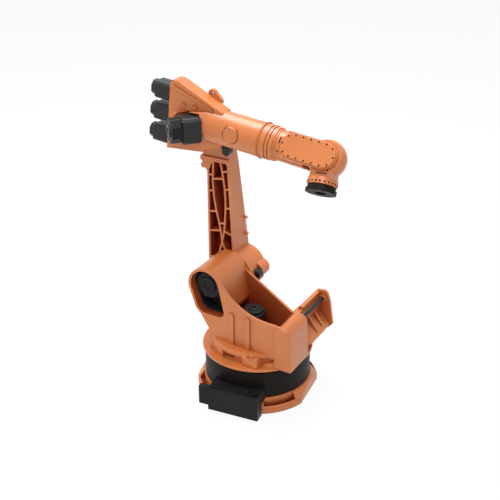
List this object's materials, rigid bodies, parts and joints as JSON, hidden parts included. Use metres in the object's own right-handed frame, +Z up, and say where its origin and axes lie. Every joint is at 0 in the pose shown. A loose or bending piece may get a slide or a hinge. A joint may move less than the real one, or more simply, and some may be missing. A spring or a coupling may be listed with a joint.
{
  "type": "desk model of an industrial robot arm",
  "caption": "Desk model of a heavy industrial robot arm in orange and black plastic: slewing bowl column, ribbed link arm, arm with rear motors, rolling forearm and bent wrist.",
  "frame": {"origin": "centre of the base's underside, on the slewing axis", "axes": "+Z up; +X the way the forearm points at rest; -Y the side with the elbow motor and the open shoulder tube"},
  "size_m": [0.1984, 0.1258, 0.2985],
  "materials": {
    "orange_plastic": "satin",
    "black_plastic": "satin"
  },
  "bodies": {
    "base": {"base_plate": "orange_plastic", "base_drum": "black_plastic", "connection_box": "black_plastic", "connection_box_lid": "black_plastic"},
    "column": {"column_disc": "orange_plastic", "column_shell": "orange_plastic", "rear_block": "orange_plastic", "counterbalance_bracket": "orange_plastic", "counterbalance_pin": "black_plastic", "slew_motor": "black_plastic", "slew_motor_cap": "black_plastic", "shoulder_motor": "black_plastic", "shoulder_motor_cap": "black_plastic"},
    "link": {"link_arm": "orange_plastic", "link_lever_pin": "black_plastic", "link_clips": "orange_plastic"},
    "arm": {"arm_casting": "orange_plastic", "arm_cap": "orange_plastic", "lifting_lug": "orange_plastic", "elbow_stop": "black_plastic", "elbow_motor": "black_plastic", "elbow_motor_cap": "black_plastic", "upper_motor": "black_plastic", "middle_motor": "black_plastic", "lower_motor": "black_plastic"},
    "forearm": {"roll_ring": "orange_plastic", "forearm_barrel": "orange_plastic", "near_cover": "orange_plastic", "far_cover": "orange_plastic"},
    "wrist": {"wrist_bulb": "orange_plastic", "wrist_collar": "orange_plastic"},
    "flange": {"tool_flange": "black_plastic"}
  },
  "joints": [
    {"name": "column_swing", "type": "hinge", "parent": "base", "child": "column", "pos_m": [0, 0, 0.043], "axis": [0, 0, 1], "range_deg": [-185, 185]},
    {"name": "shoulder", "type": "hinge", "parent": "column", "child": "link", "pos_m": [-0.037, 0.025, 0.104], "axis": [0, 1, 0], "range_deg": [-95, 48]},
    {"name": "elbow", "type": "hinge", "parent": "link", "child": "arm", "pos_m": [-0.058, 0.0138, 0.258], "axis": [0, -1, 0], "range_deg": [-15, 248]},
    {"name": "wrist_roll", "type": "hinge", "parent": "arm", "child": "forearm", "pos_m": [0.0185, -0.004, 0.2545], "axis": [0.9945, 0, -0.1045], "range_deg": [-350, 350]},
    {"name": "wrist_bend", "type": "hinge", "parent": "forearm", "child": "wrist", "pos_m": [0.06922, -0.004, 0.24917], "axis": [-0.06, 0.8192, -0.5704], "range_deg": [-180, 20]},
    {"name": "flange_turn", "type": "hinge", "parent": "wrist", "child": "flange", "pos_m": [0.07185, -0.02083, 0.22472], "axis": [0.0884, -0.5649, -0.8204], "range_deg": [-350, 350]}
  ]
}
